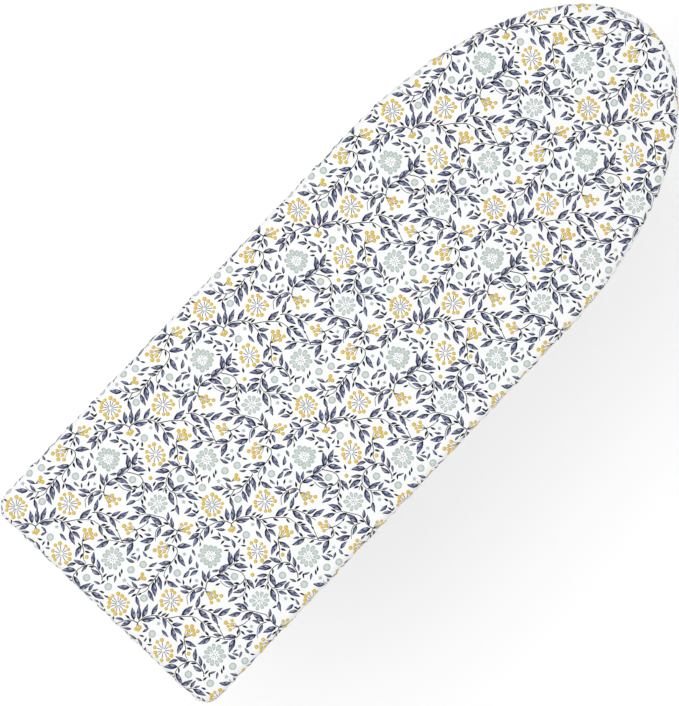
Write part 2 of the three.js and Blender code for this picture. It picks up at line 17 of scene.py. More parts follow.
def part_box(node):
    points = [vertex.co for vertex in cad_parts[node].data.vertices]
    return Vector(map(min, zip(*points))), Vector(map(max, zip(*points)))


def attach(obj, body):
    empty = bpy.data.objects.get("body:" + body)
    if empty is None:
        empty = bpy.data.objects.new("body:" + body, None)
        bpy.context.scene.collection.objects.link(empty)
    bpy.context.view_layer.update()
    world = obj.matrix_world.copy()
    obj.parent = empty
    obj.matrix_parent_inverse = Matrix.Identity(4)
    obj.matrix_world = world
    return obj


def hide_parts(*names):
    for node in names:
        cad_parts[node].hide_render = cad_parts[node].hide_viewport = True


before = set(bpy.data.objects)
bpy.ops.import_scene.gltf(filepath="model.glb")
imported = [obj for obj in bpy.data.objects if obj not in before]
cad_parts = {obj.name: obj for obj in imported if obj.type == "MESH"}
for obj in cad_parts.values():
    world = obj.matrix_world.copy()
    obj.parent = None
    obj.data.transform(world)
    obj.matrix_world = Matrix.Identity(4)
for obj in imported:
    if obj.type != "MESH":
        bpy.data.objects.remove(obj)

LOG = logging.getLogger("ironing_board")
MM = 0.001
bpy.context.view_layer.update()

Point = tuple[float, float]
Point3 = tuple[float, float, float]
Nodes = bpy.types.ShaderNodeTree

# Sockets of the Mix node when it mixes colours.
MIX_LOW, MIX_HIGH, MIX_COLOUR = 6, 7, 2
# A band texture of scale 1 repeats every 0.314 metres.
BAND = 0.314


# ---- colours and nodes ---------------------------------------------------------------------


def linear(colour: str) -> tuple[float, float, float, float]:
    """Turns an sRGB hex colour such as #3A3F62 into linear red, green, blue and alpha."""
    parts = [int(colour[i:i + 2], 16) / 255 for i in (1, 3, 5)]
    return (*(c / 12.92 if c <= 0.04045 else ((c + 0.055) / 1.055) ** 2.4 for c in parts), 1.0)


def add_node(tree: Nodes, kind: str, settings: dict[str, Any], inputs: dict[Any, Any]) -> bpy.types.Node:
    """Adds a node to a material.

    Args:
        tree: the material's node tree.
        kind: the node's type name without its ShaderNode prefix.
        settings: attributes to set on the node.
        inputs: socket name or number to a value, or to an output socket to link.

    Returns:
        The new node.
    """
    made = tree.nodes.new("ShaderNode" + kind)
    for name, value in settings.items():
        setattr(made, name, value)
    for socket, value in inputs.items():
        if isinstance(value, bpy.types.NodeSocket):
            tree.links.new(value, made.inputs[socket])
        else:
            made.inputs[socket].default_value = value
    return made


def new_material(name: str) -> tuple[bpy.types.Material, Nodes]:
    """An empty node material and its tree.

    Args:
        name: the material's name.

    Returns:
        The material and its node tree.
    """
    material = bpy.data.materials.new(name)
    material.use_nodes = True
    material.node_tree.nodes.clear()
    return material, material.node_tree


# ---- finishes ------------------------------------------------------------------------------


class Ink(Enum):
    """The screens of the cover's print, each with its sRGB colour."""

    GROUND = "#F4F5F5"
    NAVY = "#12162B"
    SLATE = "#5C6285"
    MIST = "#979CB8"
    OCHRE = "#CDAB42"
    STRAW = "#E0C667"
    SAGE = "#B2BEB9"
    LICHEN = "#CDD6D1"


@dataclass(frozen=True)
class PrintedCotton:
    """Plain-woven cotton, bleached and screen printed: matt, with a soft sheen across its threads.

    Each ink sinks into the cloth, so all of them share one weave. Real threads are 0.4 mm apart.
    They are drawn 1.2 mm apart, the finest that shows.
    """

    ink: Ink
    thread: float = 1.2 * MM
    slubs_per_metre: float = 260.0

    def material(self) -> bpy.types.Material:
        """Builds the ink's material.

        Returns:
            The new material.
        """
        material, tree = new_material(f"printed_cotton_{self.ink.name.lower()}")
        place = add_node(tree, "Attribute", {"attribute_name": "thread"}, {})
        slub = add_node(tree, "TexNoise", {}, {
            "Vector": place.outputs["Vector"], "Scale": self.slubs_per_metre, "Detail": 3.0,
        })
        weave = []
        for direction in ("X", "Y"):
            wave = add_node(
                tree, "TexWave", {"wave_type": "BANDS", "bands_direction": direction},
                {"Vector": place.outputs["Vector"], "Scale": BAND / self.thread, "Distortion": 1.4,
                 "Detail": 1.0, "Detail Scale": 2.0},
            )
            weave.append(wave.outputs["Fac"])
        crossed = add_node(tree, "Math", {"operation": "MULTIPLY"}, {0: weave[0], 1: weave[1]})
        height = add_node(tree, "Math", {"operation": "MULTIPLY_ADD"},
                          {0: slub.outputs["Fac"], 1: 0.8, 2: crossed.outputs["Value"]})
        bump = add_node(tree, "Bump", {}, {"Height": height.outputs["Value"], "Strength": 0.35,
                                           "Distance": 0.12 * MM})
        rough = add_node(tree, "MapRange", {},
                         {"Value": slub.outputs["Fac"], "To Min": 0.78, "To Max": 0.96})
        shader = add_node(tree, "BsdfPrincipled", {}, {
            "Base Color": linear(self.ink.value),
            "Roughness": rough.outputs["Result"],
            "Normal": bump.outputs["Normal"],
            "IOR": 1.46,
            "Specular IOR Level": 0.25,
            "Sheen Weight": 0.04,
            "Sheen Roughness": 0.5,
        })
        add_node(tree, "OutputMaterial", {}, {"Surface": shader.outputs["BSDF"]})
        return material


@dataclass(frozen=True)
class Cloth:
    """Undyed cloth made of loose fibres, such as felt or tape: matt and a little fuzzy."""

    name: str
    dark: str
    light: str
    fibre: float
    relief: float
    ribs: float = 0.0

    def material(self) -> bpy.types.Material:
        """Builds the cloth: noise for its fibres, and bands where it is ribbed. Its colour follows the same
        relief: the fibres vary in tone at random, and the low fibres and the grooves between ribs are
        darker, a painted shade.

        Returns:
            The new material.
        """
        material, tree = new_material(self.name)
        place = add_node(tree, "TexCoord", {}, {})
        fibres = add_node(tree, "TexNoise", {}, {
            "Vector": place.outputs["Object"], "Scale": 1 / self.fibre, "Detail": 6.0, "Roughness": 0.65,
        })
        height = fibres.outputs["Fac"]
        if self.ribs:
            band = add_node(
                tree, "TexWave", {"wave_type": "BANDS", "bands_direction": "DIAGONAL"},
                {"Vector": place.outputs["Object"], "Scale": BAND / self.ribs, "Distortion": 0.6},
            )
            mixed = add_node(tree, "Math", {"operation": "MULTIPLY_ADD"},
                             {0: band.outputs["Fac"], 1: 0.6, 2: height})
            height = mixed.outputs["Value"]
        bump = add_node(tree, "Bump", {}, {"Height": height, "Strength": 0.5, "Distance": self.relief})
        # The colour follows the bump height. The fibre noise gives a tone that varies at random. The low
        # fibres and the grooves between ribs also come out darker, a painted shade.
        colour = add_node(tree, "Mix", {"data_type": "RGBA"},
                          {0: height, MIX_LOW: linear(self.dark), MIX_HIGH: linear(self.light)})
        shader = add_node(tree, "BsdfPrincipled", {}, {
            "Base Color": colour.outputs[MIX_COLOUR],
            "Roughness": 0.95,
            "Normal": bump.outputs["Normal"],
            "Specular IOR Level": 0.2,
            "Sheen Weight": 0.3,
            "Sheen Roughness": 0.6,
        })
        add_node(tree, "OutputMaterial", {}, {"Surface": shader.outputs["BSDF"]})
        return material


@dataclass(frozen=True)
class PowderCoat:
    """Polyester powder baked on steel: satin, with a faint orange peel 1.5 mm across."""

    name: str = "powder_coated_steel"
    low: str = "#DADDDD"
    high: str = "#E9EBEA"
    peel: float = 1.5 * MM
    drift: float = 90 * MM

    def material(self) -> bpy.types.Material:
        """Builds the coat: peel in the bump, and slow drift in tone and gloss.

        Returns:
            The new material.
        """
        material, tree = new_material(self.name)
        place = add_node(tree, "TexCoord", {}, {})
        peel = add_node(tree, "TexNoise", {}, {
            "Vector": place.outputs["Object"], "Scale": 1 / self.peel, "Detail": 2.0,
        })
        drift = add_node(tree, "TexNoise", {}, {
            "Vector": place.outputs["Object"], "Scale": 1 / self.drift, "Detail": 4.0, "Roughness": 0.6,
        })
        bump = add_node(tree, "Bump", {}, {
            "Height": peel.outputs["Fac"], "Strength": 0.12, "Distance": 0.04 * MM,
        })
        colour = add_node(tree, "Mix", {"data_type": "RGBA"},
                          {0: drift.outputs["Fac"], MIX_LOW: linear(self.low), MIX_HIGH: linear(self.high)})
        rough = add_node(tree, "MapRange", {},
                         {"Value": drift.outputs["Fac"], "To Min": 0.3, "To Max": 0.44})
        shader = add_node(tree, "BsdfPrincipled", {}, {
            "Base Color": colour.outputs[MIX_COLOUR],
            "Roughness": rough.outputs["Result"],
            "Normal": bump.outputs["Normal"],
            "IOR": 1.5,
            "Coat Weight": 0.15,
            "Coat Roughness": 0.2,
        })
        add_node(tree, "OutputMaterial", {}, {"Surface": shader.outputs["BSDF"]})
        return material


@dataclass(frozen=True)
class ZincPlate:
    """Bright zinc plated on drawn steel: silvery, with drawing lines and dull patches."""

    patch: float = 6 * MM
    line: float = 0.8 * MM

    def material(self) -> bpy.types.Material:
        """Builds the plate: fine lines in the bump, and patches in colour and gloss.

        Returns:
            The new material.
        """
        material, tree = new_material("bright_zinc_plate")
        place = add_node(tree, "TexCoord", {}, {})
        patches = add_node(tree, "TexVoronoi", {"feature": "SMOOTH_F1"}, {
            "Vector": place.outputs["Object"], "Scale": 1 / self.patch, "Smoothness": 0.8,
        })
        lines = add_node(tree, "TexNoise", {}, {
            "Vector": place.outputs["Object"], "Scale": 1 / self.line, "Detail": 5.0, "Roughness": 0.7,
        })
        bump = add_node(tree, "Bump", {}, {
            "Height": lines.outputs["Fac"], "Strength": 0.12, "Distance": 0.03 * MM,
        })
        colour = add_node(tree, "Mix", {"data_type": "RGBA"},
                          {0: patches.outputs["Distance"], MIX_LOW: linear("#B4B8BD"),
                           MIX_HIGH: linear("#CDD0D2")})
        rough = add_node(tree, "MapRange", {},
                         {"Value": lines.outputs["Fac"], "To Min": 0.22, "To Max": 0.42})
        shader = add_node(tree, "BsdfPrincipled", {}, {
            "Base Color": colour.outputs[MIX_COLOUR],
            "Metallic": 1.0,
            "Roughness": rough.outputs["Result"],
            "Normal": bump.outputs["Normal"],
        })
        add_node(tree, "OutputMaterial", {}, {"Surface": shader.outputs["BSDF"]})
        return material


@dataclass(frozen=True)
class Moulded:
    """Injection-moulded plastic with a spark-eroded texture: satin, faintly grained."""

    name: str
    low: str
    high: str
    roughness: float
    grain: float = 0.6 * MM
    drift: float = 14 * MM
    scatter: float = 0.0

    def material(self) -> bpy.types.Material:
        """Builds the plastic: grain in the bump, and slight drift in tone.

        Returns:
            The new material.
        """
        material, tree = new_material(self.name)
        place = add_node(tree, "TexCoord", {}, {})
        grain = add_node(tree, "TexNoise", {}, {
            "Vector": place.outputs["Object"], "Scale": 1 / self.grain, "Detail": 3.0, "Roughness": 0.6,
        })
        drift = add_node(tree, "TexNoise", {}, {"Vector": place.outputs["Object"], "Scale": 1 / self.drift})
        bump = add_node(tree, "Bump", {}, {
            "Height": grain.outputs["Fac"], "Strength": 0.35, "Distance": 0.08 * MM,
        })
        colour = add_node(tree, "Mix", {"data_type": "RGBA"},
                          {0: drift.outputs["Fac"], MIX_LOW: linear(self.low), MIX_HIGH: linear(self.high)})
        rough = add_node(tree, "MapRange", {},
                         {"Value": grain.outputs["Fac"], "To Min": self.roughness - 0.06,
                          "To Max": self.roughness + 0.08})
        shader = add_node(tree, "BsdfPrincipled", {}, {
            "Base Color": colour.outputs[MIX_COLOUR],
            "Roughness": rough.outputs["Result"],
            "Normal": bump.outputs["Normal"],
            "IOR": 1.5,
            "Subsurface Weight": self.scatter,
            "Subsurface Radius": (2 * MM, 2 * MM, 2 * MM),
        })
        add_node(tree, "OutputMaterial", {}, {"Surface": shader.outputs["BSDF"]})
        return material


# ---- printed artwork -----------------------------------------------------------------------


@dataclass
class FloralRepeat:
    """One repeat of the cover's print, in millimetres, drawn from the largest motif to the smallest.

    Every shape is a closed outline with its ink, and a later shape lies over an earlier one.
    """

    along: float = 213.0
    across: float = 219.0
    seed: int = 20
    stem: float = 1.45
    shapes: list[tuple[Ink, list[Point]]] = field(default_factory=list)
    taken: list[tuple[float, float, float]] = field(default_factory=list)
    joints: list[tuple[float, float, float]] = field(default_factory=list)

    def __post_init__(self) -> None:
        """Seeds the draughtsman's hand."""
        self.rng = random.Random(self.seed)

    def rooms(self, places: list[Point]) -> np.ndarray:
        """The free radius around each place, measured across the joins of the repeat.

        Args:
            places: the places to measure at.

        Returns:
            The free radius at each place, in millimetres.
        """
        if not self.taken:
            return np.full(len(places), self.along)
        spots = np.asarray(self.taken)
        gap = np.abs(np.asarray(places)[:, None, :] - spots[None, :, :2])
        size = np.array([self.along, self.across])
        gap = np.mod(gap, size)
        gap = np.minimum(gap, size - gap)
        return (np.hypot(gap[..., 0], gap[..., 1]) - spots[None, :, 2]).min(axis=1)

    def spot(self, tries: int = 220) -> tuple[float, float, float]:
        """The roomiest of several random places, as its room, x and y.

        Args:
            tries: how many random places to compare.

        Returns:
            The room, x and y of the roomiest.
        """
        places = []
        for _ in range(tries):
            places.append((self.rng.uniform(0, self.along), self.rng.uniform(0, self.across)))
        rooms = self.rooms(places)
        best = int(rooms.argmax())
        return float(rooms[best]), *places[best]

    def take(self, x: float, y: float, radius: float) -> None:
        """Marks a round patch as drawn on."""
        self.taken.append((x % self.along, y % self.across, radius))

    def disc(self, ink: Ink, x: float, y: float, radius: float, sides: int, wobble: float = 0.0) -> None:
        """Draws a hand-cut round dot.

        Args:
            ink: its colour.
            x, y: its middle, in millimetres.
            radius: its size.
            sides: how many corners it has.
            wobble: how far each corner may stray, as a share of the radius.
        """
        turn = self.rng.uniform(0, math.tau)
        outline = []
        for i in range(sides):
            reach = radius * (1 + self.rng.uniform(-wobble, wobble))
            angle = turn + math.tau * i / sides
            outline.append((x + reach * math.cos(angle), y + reach * math.sin(angle)))
        self.shapes.append((ink, outline))

    def stroke(self, path: list[Point], start: float, end: float) -> None:
        """Draws a line whose width changes evenly from start to end.

        Args:
            path: the points along its middle.
            start, end: its widths there.
        """
        left, right = [], []
        for i, (x, y) in enumerate(path):
            ahead, behind = path[min(i + 1, len(path) - 1)], path[max(i - 1, 0)]
            heading = math.atan2(ahead[1] - behind[1], ahead[0] - behind[0])
            half = (start + (end - start) * i / (len(path) - 1)) / 2
            left.append((x - half * math.sin(heading), y + half * math.cos(heading)))
            right.append((x + half * math.sin(heading), y - half * math.cos(heading)))
        self.shapes.append((Ink.NAVY, left + right[::-1]))

    def leaf(self, x: float, y: float, heading: float, length: float, width: float, bend: float) -> None:
        """Draws a bent leaf with a dark edge, a midrib and a slanted vein.

        Args:
            x, y: where the leaf leaves its stem.
            heading: its direction there, in radians.
            length, width: its size.
            bend: how far it turns from base to tip, in radians.
        """
        def at(t: float, side: float, share: float, off: float = 0.0) -> Point:
            """A point of the leaf.

            Args:
                t: how far it is from base to tip, from 0 to 1.
                side: 1 for the left of the midrib, -1 for the right.
                share: how far it is from the midrib, as a share of the half width there.
                off: a further distance from the midrib, in millimetres.

            Returns:
                Its x and y.
            """
            angle = heading + bend * t
            swing = heading + bend * t / 2
            half = width / 2 * math.sin(math.pi * t ** 0.85) ** 1.15
            reach = side * (off + share * half)
            return (x + length * t * math.cos(swing) - reach * math.sin(angle),
                    y + length * t * math.sin(swing) + reach * math.cos(angle))

        steps = [0.0, 0.2, 0.45, 0.72]
        edge = [at(t, 1, 1) for t in steps] + [at(1.0, 1, 0)] + [at(t, -1, 1) for t in steps[:0:-1]]
        self.shapes.append((Ink.NAVY, edge))
        if length < 11:
            return
        pale = self.rng.choice((1, -1))
        lit = (0.17, 0.5, 0.84) if length > 18 else (0.18, 0.82)
        for side, ink, cuts in ((pale, Ink.MIST, lit), (-pale, Ink.SLATE, (0.2, 0.82))):
            for low, high in zip(cuts, cuts[1:]):
                middle = (low + high) / 2 + 0.04
                self.shapes.append((ink, [
                    at(low, side, 0.0, 0.24), at(high - 0.05, side, 0.0, 0.24),
                    at(high + 0.03, side, 0.68), at(middle, side, 0.82),
                ]))

    def berry(self, x: float, y: float, radius: float) -> None:
        """Draws a berry with a lit middle."""
        self.disc(Ink.OCHRE, x, y, radius, 8, 0.03)
        self.disc(Ink.STRAW, x - 0.1 * radius, y + 0.12 * radius, radius * 0.6, 5, 0.05)

    def umbel(self, x: float, y: float) -> None:
        """Draws a ring of berries on fine spokes.

        Args:
            x, y: its middle, in millimetres.
        """
        count = self.rng.randint(11, 13)
        turn = self.rng.uniform(0, math.tau)
        for i in range(count):
            angle = turn + math.tau * i / count + self.rng.uniform(-0.08, 0.08)
            reach = self.rng.uniform(12.4, 16.2)
            size = self.rng.uniform(2.7, 3.6)
            tip = reach - size - 0.5
            c, s = math.cos(angle), math.sin(angle)
            self.stroke([(x + 2.4 * c, y + 2.4 * s), (x + tip * c, y + tip * s)], 0.7, 1.2)
            self.berry(x + reach * c, y + reach * s, size)
        self.take(x, y, 18.5)

    def cluster(self, x: float, y: float, count: int, spread_to: float) -> None:
        """Draws a loose bunch of berries, on stalks that fork from one foot.

        Args:
            x, y: its middle, in millimetres.
            count: how many berries it has.
            spread_to: its radius.
        """
        golden = math.pi * (3 - math.sqrt(5))
        heading = self.rng.uniform(0, math.tau)
        foot = (x - (spread_to + 5) * math.cos(heading), y - (spread_to + 5) * math.sin(heading))
        turn = self.rng.uniform(0, math.tau)
        spots = []
        for i in range(count):
            reach = spread_to * math.sqrt((i + 0.4) / count)
            angle = turn + i * golden
            spots.append((x + reach * math.cos(angle), y + reach * math.sin(angle)))
        for spot in spots:
            self.stroke([foot, spot], 0.9, 0.6)
        for spot in spots:
            self.berry(*spot, self.rng.uniform(2.7, 3.6))
        self.take(x, y, spread_to + 3.4)
        self.take(*foot, 1.0)
        self.joints.append((*foot, heading + math.pi))

    def daisy(self, x: float, y: float, reach: float, petals: int) -> None:
        """Draws a pale flower with open petals and a dotted eye.

        Args:
            x, y: its middle, in millimetres.
            reach: its radius.
            petals: how many petals it has.
        """
        turn = self.rng.uniform(0, math.tau)
        for i in range(petals):
            angle = turn + math.tau * i / petals
            tip = reach * self.rng.uniform(0.86, 1.04)
            wide = reach * self.rng.uniform(0.15, 0.19)
            for ink, scale, sides in ((Ink.SAGE, 1.0, 8), (Ink.LICHEN, 0.55, 5)):
                ring = []
                for k in range(sides):
                    t = math.tau * k / sides
                    far = (0.67 + 0.31 * scale * math.cos(t)) * tip
                    off = wide * scale * math.sin(t) * (1 + 0.4 * math.cos(t))
                    ring.append((x + far * math.cos(angle) - off * math.sin(angle),
                                 y + far * math.sin(angle) + off * math.cos(angle)))
                self.shapes.append((ink, ring))
        for i in range(12):
            angle, far = i * 2.4, 0.09 * reach * math.sqrt(i)
            ink = Ink.NAVY if i % 3 else Ink.SLATE
            self.disc(ink, x + far * math.cos(angle), y + far * math.sin(angle), 0.85, 4)
        self.take(x, y, reach + 0.4)

    def bud(self, x: float, y: float, radius: float) -> None:
        """Draws a round bud.

        Args:
            x, y: its middle, in millimetres.
            radius: its size.
        """
        self.disc(Ink.SAGE, x, y, radius, 12, 0.05)
        self.disc(Ink.LICHEN, x, y, radius * 0.66, 9, 0.07)
        self.take(x, y, radius + 1.0)

    def star(self, x: float, y: float, radius: float) -> None:
        """Draws a five-petalled speck.

        Args:
            x, y: its middle, in millimetres.
            radius: its size.
        """
        turn = self.rng.uniform(0, math.tau)
        outline = []
        for i in range(10):
            reach = radius * (1.0, 0.5)[i % 2]
            angle = turn + math.pi * i / 5
            outline.append((x + reach * math.cos(angle), y + reach * math.sin(angle)))
        self.shapes.append((Ink.SAGE, outline))
        self.take(x, y, radius + 0.6)

    def try_leaf(self, x: float, y: float, heading: float, lengths: Iterable[float], tight: float) -> bool:
        """Draws the longest of several leaves that fits.

        Args:
            x, y: where it leaves its stem.
            heading: its direction there, in radians.
            lengths: the lengths to try, longest first.
            tight: the clear space to leave around it.

        Returns:
            True if one fitted.
        """
        for length in lengths:
            bend = self.rng.uniform(-0.7, 0.7)
            width = length * self.rng.uniform(0.32, 0.4)

            def along(t: float) -> Point:
                """A point of the leaf's midrib, from 0 at its base to 1 at its tip."""
                return (x + length * t * math.cos(heading + bend * t / 2),
                        y + length * t * math.sin(heading + bend * t / 2))

            rooms = self.rooms([along(t) for t in (0.4, 0.65, 1.0)])
            need = np.array([0.95, 0.9, 0.25]) * width / 2 + tight
            if (rooms > need).all():
                self.leaf(x, y, heading, length, width, bend)
                for t, share in ((0.3, 0.8), (0.5, 1.0), (0.7, 0.8), (0.95, 0.2)):
                    self.take(*along(t), share * width / 2)
                return True
        return False

    def vine(self, x: float, y: float, heading: float, reach: float, fewest: int = 3) -> bool:
        """Grows a stem that winds through the free space, with leaves in turn on both sides.

        Args:
            x, y: where it starts.
            heading: its first direction, in radians.
            reach: its greatest length.
            fewest: how many leaves it needs to be kept.

        Returns:
            True if it was kept.
        """
        step = 3.0
        curl = self.rng.choice((-0.09, 0.09))
        path = [(x, y, heading)]
        while len(path) * step < reach:
            turns = [heading + curl + turn for turn in (-0.3, -0.15, 0.0, 0.15, 0.3)]
            rooms = self.rooms([(x + 9 * math.cos(a), y + 9 * math.sin(a)) for a in turns])
            scores = np.minimum(rooms, 9.0) - 7 * np.abs(np.asarray(turns) - heading - curl)
            heading = turns[int(scores.argmax())]
            x, y = x + step * math.cos(heading), y + step * math.sin(heading)
            if len(path) > 2 and self.rooms([(x, y)])[0] < 1.2:
                break
            path.append((x, y, heading))
            curl = max(-0.17, min(0.17, curl + self.rng.uniform(-0.05, 0.05)))
        if len(path) < 4:
            return False
        before = len(self.shapes), len(self.taken)
        for px, py, _ in path[1:]:
            self.take(px, py, 0.6)
        side = self.rng.choice((1, -1))
        leaves = 0
        for px, py, ahead in path[1:-1]:
            if self.rng.random() < 0.2:
                continue
            angle = ahead + side * self.rng.uniform(0.45, 1.05)
            away = 0.9 / math.sin(abs(angle - ahead))
            if self.try_leaf(px + away * math.cos(angle), py + away * math.sin(angle), angle,
                             (24, 21, 18, 15, 10), 0.45):
                leaves += 1
                side = -side
            elif self.rng.random() < 0.4:
                side = -side
        px, py, ahead = path[-1]
        leaves += self.try_leaf(px, py, ahead, (21, 18, 15, 11, 8), 0.4)
        if leaves < fewest:
            del self.shapes[before[0]:], self.taken[before[1]:]
            return False
        bends = path[::2] if len(path) % 2 else path[::2] + path[-1:]
        self.stroke([(px, py) for px, py, _ in bends], self.stem, self.stem * 0.6)
        self.joints += path[1:-1]
        return True

    def branch(self, reach: float, fewest: int) -> bool:
        """Forks a vine off an earlier stem, towards the most free space beside any of them.

        Args:
            reach: its greatest length.
            fewest: how many leaves it needs to be kept.

        Returns:
            True if one was kept.
        """
        ways = [(x, y, heading + turn) for x, y, heading in self.joints for turn in (-0.8, 0.8)]
        rooms = self.rooms([(x + 10 * math.cos(a), y + 10 * math.sin(a)) for x, y, a in ways])
        for i in np.argsort(-rooms)[:12]:
            x, y, heading = ways[int(i)]
            if self.vine(x, y, heading, reach, fewest):
                return True
        return False

    def fill(self) -> None:
        """Closes what is left with single leaves, stars and dots."""
        for _ in range(70):
            free, x, y = self.spot(120)
            if free < 2.6:
                break
            turn = self.rng.uniform(0, math.tau)
            headings = [turn + math.tau * k / 8 for k in range(8)]
            if any(self.try_leaf(x - 6 * math.cos(a), y - 6 * math.sin(a), a, (16, 12, 9), 0.5)
                   for a in headings):
                continue
            if free > 3.6:
                self.star(x, y, min(free, 4.4))
            else:
                self.disc(Ink.SAGE, x, y, min(free * 0.45, 1.5), 5)
                self.take(x, y, free * 0.6)

    def draw(self) -> list[tuple[Ink, list[Point]]]:
        """Draws the repeat.

        Returns:
            Each shape, as its ink and its outline in millimetres.
        """
        for reach, petals in ((20.0, 12), (19.0, 11), (17.0, 10)):
            self.daisy(*self.spot()[1:], reach, petals)
        for _ in range(3):
            self.umbel(*self.spot()[1:])
        for count, spread_to in ((8, 12.5), (7, 12.0), (7, 11.0), (6, 10.5), (5, 9.0), (3, 5.0), (3, 4.5)):
            self.cluster(*self.spot()[1:], count, spread_to)
        for _ in range(4):
            self.bud(*self.spot()[1:], 6.0)
        for _ in range(7):
            self.star(*self.spot()[1:], self.rng.uniform(3.6, 4.4))
        for _ in range(2):
            room, x, y = self.spot()
            self.berry(x, y, 3.3)
            self.take(x, y, 4.2)
        for _ in range(5):
            self.vine(*self.spot()[1:], self.rng.uniform(0, math.tau), self.rng.uniform(70, 120))
        for reach, fewest, count in ((70, 5, 12), (40, 3, 20), (20, 2, 24)):
            for _ in range(count):
                if not self.branch(reach, fewest):
                    break
        for _ in range(4):
            room, x, y = self.spot()
            self.bud(x, y, max(3.0, min(6.0, room - 0.8)))
        self.fill()
        return self.shapes


# ---- shapes --------------------------------------------------------------------------------


@dataclass
class BoardPlan:
    """The board's outline from above: a square tail with rounded corners and a half-elliptic nose.

    An inset is a distance in from the cover's outer face. A negative one lies outside it.
    """

    nose_start: float = 188 * MM
    nose_length: float = 437 * MM
    half_width: float = 230 * MM
    tail: float = -625 * MM
    corner: float = 28 * MM
    tightest: float = 5 * MM
    spacing: float = 4.5 * MM

    def __post_init__(self) -> None:
        """Lays nodes round the outline, each with its outward normal and its way in past the corners."""
        free = self.corner - self.tightest
        turn_x, turn_y = self.tail + self.corner, self.half_width - self.corner
        rows = []
        for t in np.linspace(-math.pi / 2, math.pi / 2, round(1.08 / self.spacing), endpoint=False):
            out = Vector((math.cos(t) / self.nose_length, math.sin(t) / self.half_width)).normalized()
            rows.append((self.nose_start + self.nose_length * math.cos(t), self.half_width * math.sin(t),
                         out.x, out.y, -out.x, -out.y))
        side = np.linspace(0, 1, round((self.nose_start - turn_x) / self.spacing), endpoint=False)
        turn = np.linspace(0, math.pi / 2, 9, endpoint=False)
        for g in side:
            rows.append((self.nose_start + (turn_x - self.nose_start) * g, self.half_width, 0, 1, g, -1))
        for t in turn:
            rows.append((turn_x - self.corner * math.sin(t), turn_y + self.corner * math.cos(t),
                         -math.sin(t), math.cos(t), 1, -1))
        for g in np.linspace(1, -1, round(2 * turn_y / self.spacing), endpoint=False):
            rows.append((self.tail, turn_y * g, -1, 0, 1, -g))
        for t in turn:
            rows.append((turn_x - self.corner * math.cos(t), -turn_y - self.corner * math.sin(t),
                         -math.cos(t), -math.sin(t), 1, 1))
        for g in side:
            rows.append((turn_x + (self.nose_start - turn_x) * g, -self.half_width, 0, -1, 1 - g, 1))
        table = np.array(rows)
        self.base, self.normal, self.late = table[:, 0:2], table[:, 2:4], table[:, 4:6]
        self.free = free
        steps = np.linalg.norm(np.roll(self.base, -1, axis=0) - self.base, axis=1)
        self.length = float(steps.sum())
        self.travel = np.concatenate([[0.0], np.cumsum(steps)])[:-1]

    def ring(self, inset: float | np.ndarray, node: np.ndarray | None = None) -> np.ndarray:
        """Points of the outline at an inset.

        Args:
            inset: one inset, or one for each node.
            node: the nodes wanted, or None for all of them.

        Returns:
            One x and y for each node.
        """
        pick = slice(None) if node is None else node % len(self.base)
        early = np.minimum(inset, self.free)
        later = np.maximum(np.asarray(inset) - self.free, 0.0)
        if node is not None:
            early, later = np.asarray(early)[:, None], later[:, None]
        return self.base[pick] - early * self.normal[pick] + later * self.late[pick]

    def locate(self, points: np.ndarray, inset: float, step: int = 1
               ) -> tuple[np.ndarray, np.ndarray, np.ndarray]:
        """Finds how far outside an inset outline each point is, and beside which part of it.

        Args:
            points: one x and y for each point.
            inset: the inset outline's inset.
            step: 1 to use every node, or more for a quicker, rougher answer.

        Returns:
            The distances outside it, the nodes before the nearest places, and how far each place is
            on the way to the next node, from 0 to 1.
        """
        rim = self.ring(inset)[::step]
        ahead = np.roll(rim, -1, axis=0) - rim
        span = (ahead ** 2).sum(axis=1)
        out = np.empty(len(points))
        node = np.empty(len(points), int)
        share = np.empty(len(points))
        for start in range(0, len(points), 4000):
            part = points[start:start + 4000]
            gap = part[:, None, :] - rim[None, :, :]
            along = np.clip((gap * ahead).sum(axis=2) / span, 0.0, 1.0)
            miss = gap - along[..., None] * ahead
            best = (miss ** 2).sum(axis=2).argmin(axis=1)
            rows = np.arange(len(part))
            node[start:start + 4000] = best * step
            share[start:start + 4000] = along[rows, best]
            near = miss[rows, best]
            way = self.normal[best * step]
            out[start:start + 4000] = np.linalg.norm(near, axis=1) * np.sign((near * way).sum(axis=1))
        return out, node, share

    def holds(self, points: np.ndarray, inset: float) -> np.ndarray:
        """Whether each point is inside an inset outline, to about a millimetre.

        Args:
            points: one x and y for each point.
            inset: the inset outline's inset.

        Returns:
            True for each point inside.
        """
        ring = self.ring(inset)[::6]
        x, y = points[:, 0], points[:, 1]
        inside = np.zeros(len(points), bool)
        for (ax, ay), (bx, by) in zip(ring, np.roll(ring, -1, axis=0)):
            if ay != by:
                inside ^= ((ay > y) != (by > y)) & (x < (bx - ax) * (y - ay) / (by - ay) + ax)
        return inside


def new_mesh(name: str, points: np.ndarray, faces: Iterable[Iterable[int]]) -> bpy.types.Object:
    """Links a smooth-shaded mesh object made of points and faces.

    Args:
        name: the object's name.
        points: one x, y and z for each point.
        faces: the numbers of the points round each face.

    Returns:
        The new object, in the scene.
    """
    mesh = bpy.data.meshes.new(name)
    mesh.from_pydata([tuple(p) for p in points], [], [tuple(f) for f in faces])
    mesh.shade_smooth()
    made = bpy.data.objects.new(name, mesh)
    bpy.context.scene.collection.objects.link(made)
    return made


def signed_area(loop: np.ndarray) -> float:
    """The area inside a loop, above 0 if it runs anticlockwise."""
    x, y = loop.T
    return float((x * np.roll(y, -1) - y * np.roll(x, -1)).sum()) / 2


def anticlockwise(loop: np.ndarray) -> np.ndarray:
    """The loop, turned round if it runs clockwise."""
    return loop if signed_area(loop) > 0 else loop[::-1]


